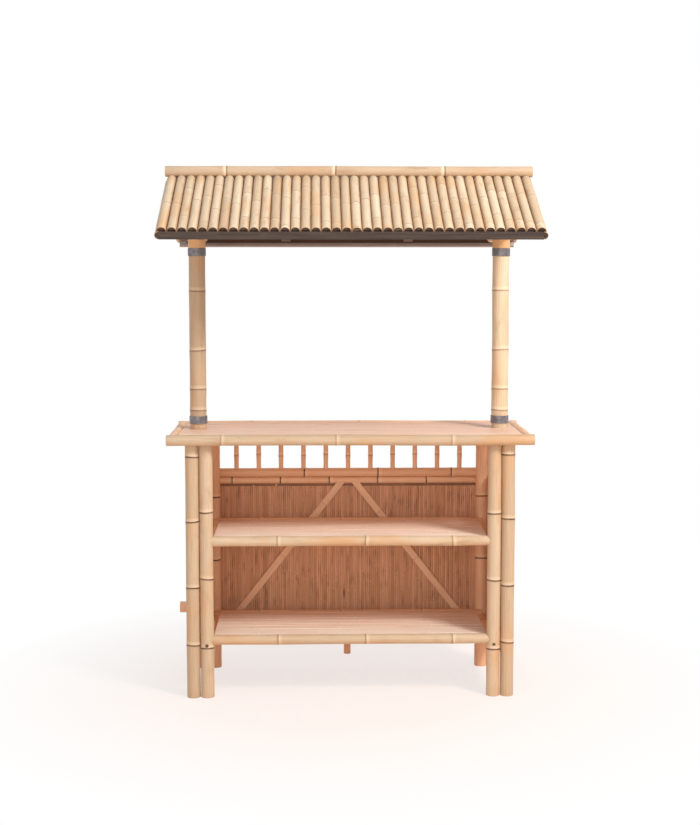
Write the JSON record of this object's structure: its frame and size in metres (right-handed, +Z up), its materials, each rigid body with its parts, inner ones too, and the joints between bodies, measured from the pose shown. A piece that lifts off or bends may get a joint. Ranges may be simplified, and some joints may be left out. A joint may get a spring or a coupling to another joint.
{
  "type": "outdoor garden bar",
  "caption": "Roofed bamboo garden bar with a slatted counter, two shelves, a split-cane screen, balusters, a foot rail and a gabled roof of half-round canes on two posts.",
  "frame": {"origin": "on the ground, in the middle of the outline", "axes": "+X along the counter to the right as the bartender sees it, +Y towards the guests, +Z up"},
  "size_m": [1.536, 0.96, 2.2],
  "materials": {
    "pale_bamboo": "smooth natural bamboo skin with dark nodes",
    "tan_bamboo": "smooth bamboo, browner",
    "bamboo_slats": "planed bamboo slats, pinkish",
    "split_bamboo_panel": "rough split bamboo",
    "roof_cane": "half-round canes, satin",
    "dark_timber": "dark stained",
    "grey_timber": "grey-brown stained",
    "grey_collar": "matt dark grey"
  },
  "bodies": {
    "root": {"base_stretchers": "tan_bamboo", "counter_bearers": "pale_bamboo", "counter_end_edges": "pale_bamboo", "counter_front_edge": "pale_bamboo", "counter_rear_edge": "pale_bamboo", "counter_slats": "bamboo_slats", "foot_rail": "tan_bamboo", "foot_rail_arms": "tan_bamboo", "foot_rail_leg": "tan_bamboo", "front_fascia": "dark_timber", "front_left_posts": "pale_bamboo", "front_rafters": "grey_timber", "front_right_posts": "pale_bamboo", "front_roof_canes": "roof_cane", "guest_balusters": "tan_bamboo", "guest_bottom_rail": "tan_bamboo", "guest_lower_rail": "tan_bamboo", "guest_panel": "split_bamboo_panel", "guest_upper_rail": "tan_bamboo", "left_roof_post": "pale_bamboo", "lower_collars": "grey_collar", "lower_shelf_poles": "pale_bamboo", "lower_shelf_slats": "bamboo_slats", "middle_shelf_poles": "pale_bamboo", "middle_shelf_slats": "bamboo_slats", "post_heads": "tan_bamboo", "post_stubs": "pale_bamboo", "rear_fascia": "dark_timber", "rear_left_posts": "tan_bamboo", "rear_rafters": "grey_timber", "rear_right_posts": "tan_bamboo", "rear_roof_canes": "roof_cane", "ridge_beam": "grey_timber", "ridge_pole": "pale_bamboo", "right_roof_post": "pale_bamboo", "roof_battens": "grey_timber", "roof_purlins": "pale_bamboo", "screen_braces": "tan_bamboo", "shelf_bearers": "pale_bamboo", "side_balusters": "tan_bamboo", "side_panels": "split_bamboo_panel", "side_rails": "tan_bamboo", "tie_beams": "tan_bamboo", "upper_collars": "grey_collar", "verge_canes": "roof_cane"}
  },
  "joints": []
}
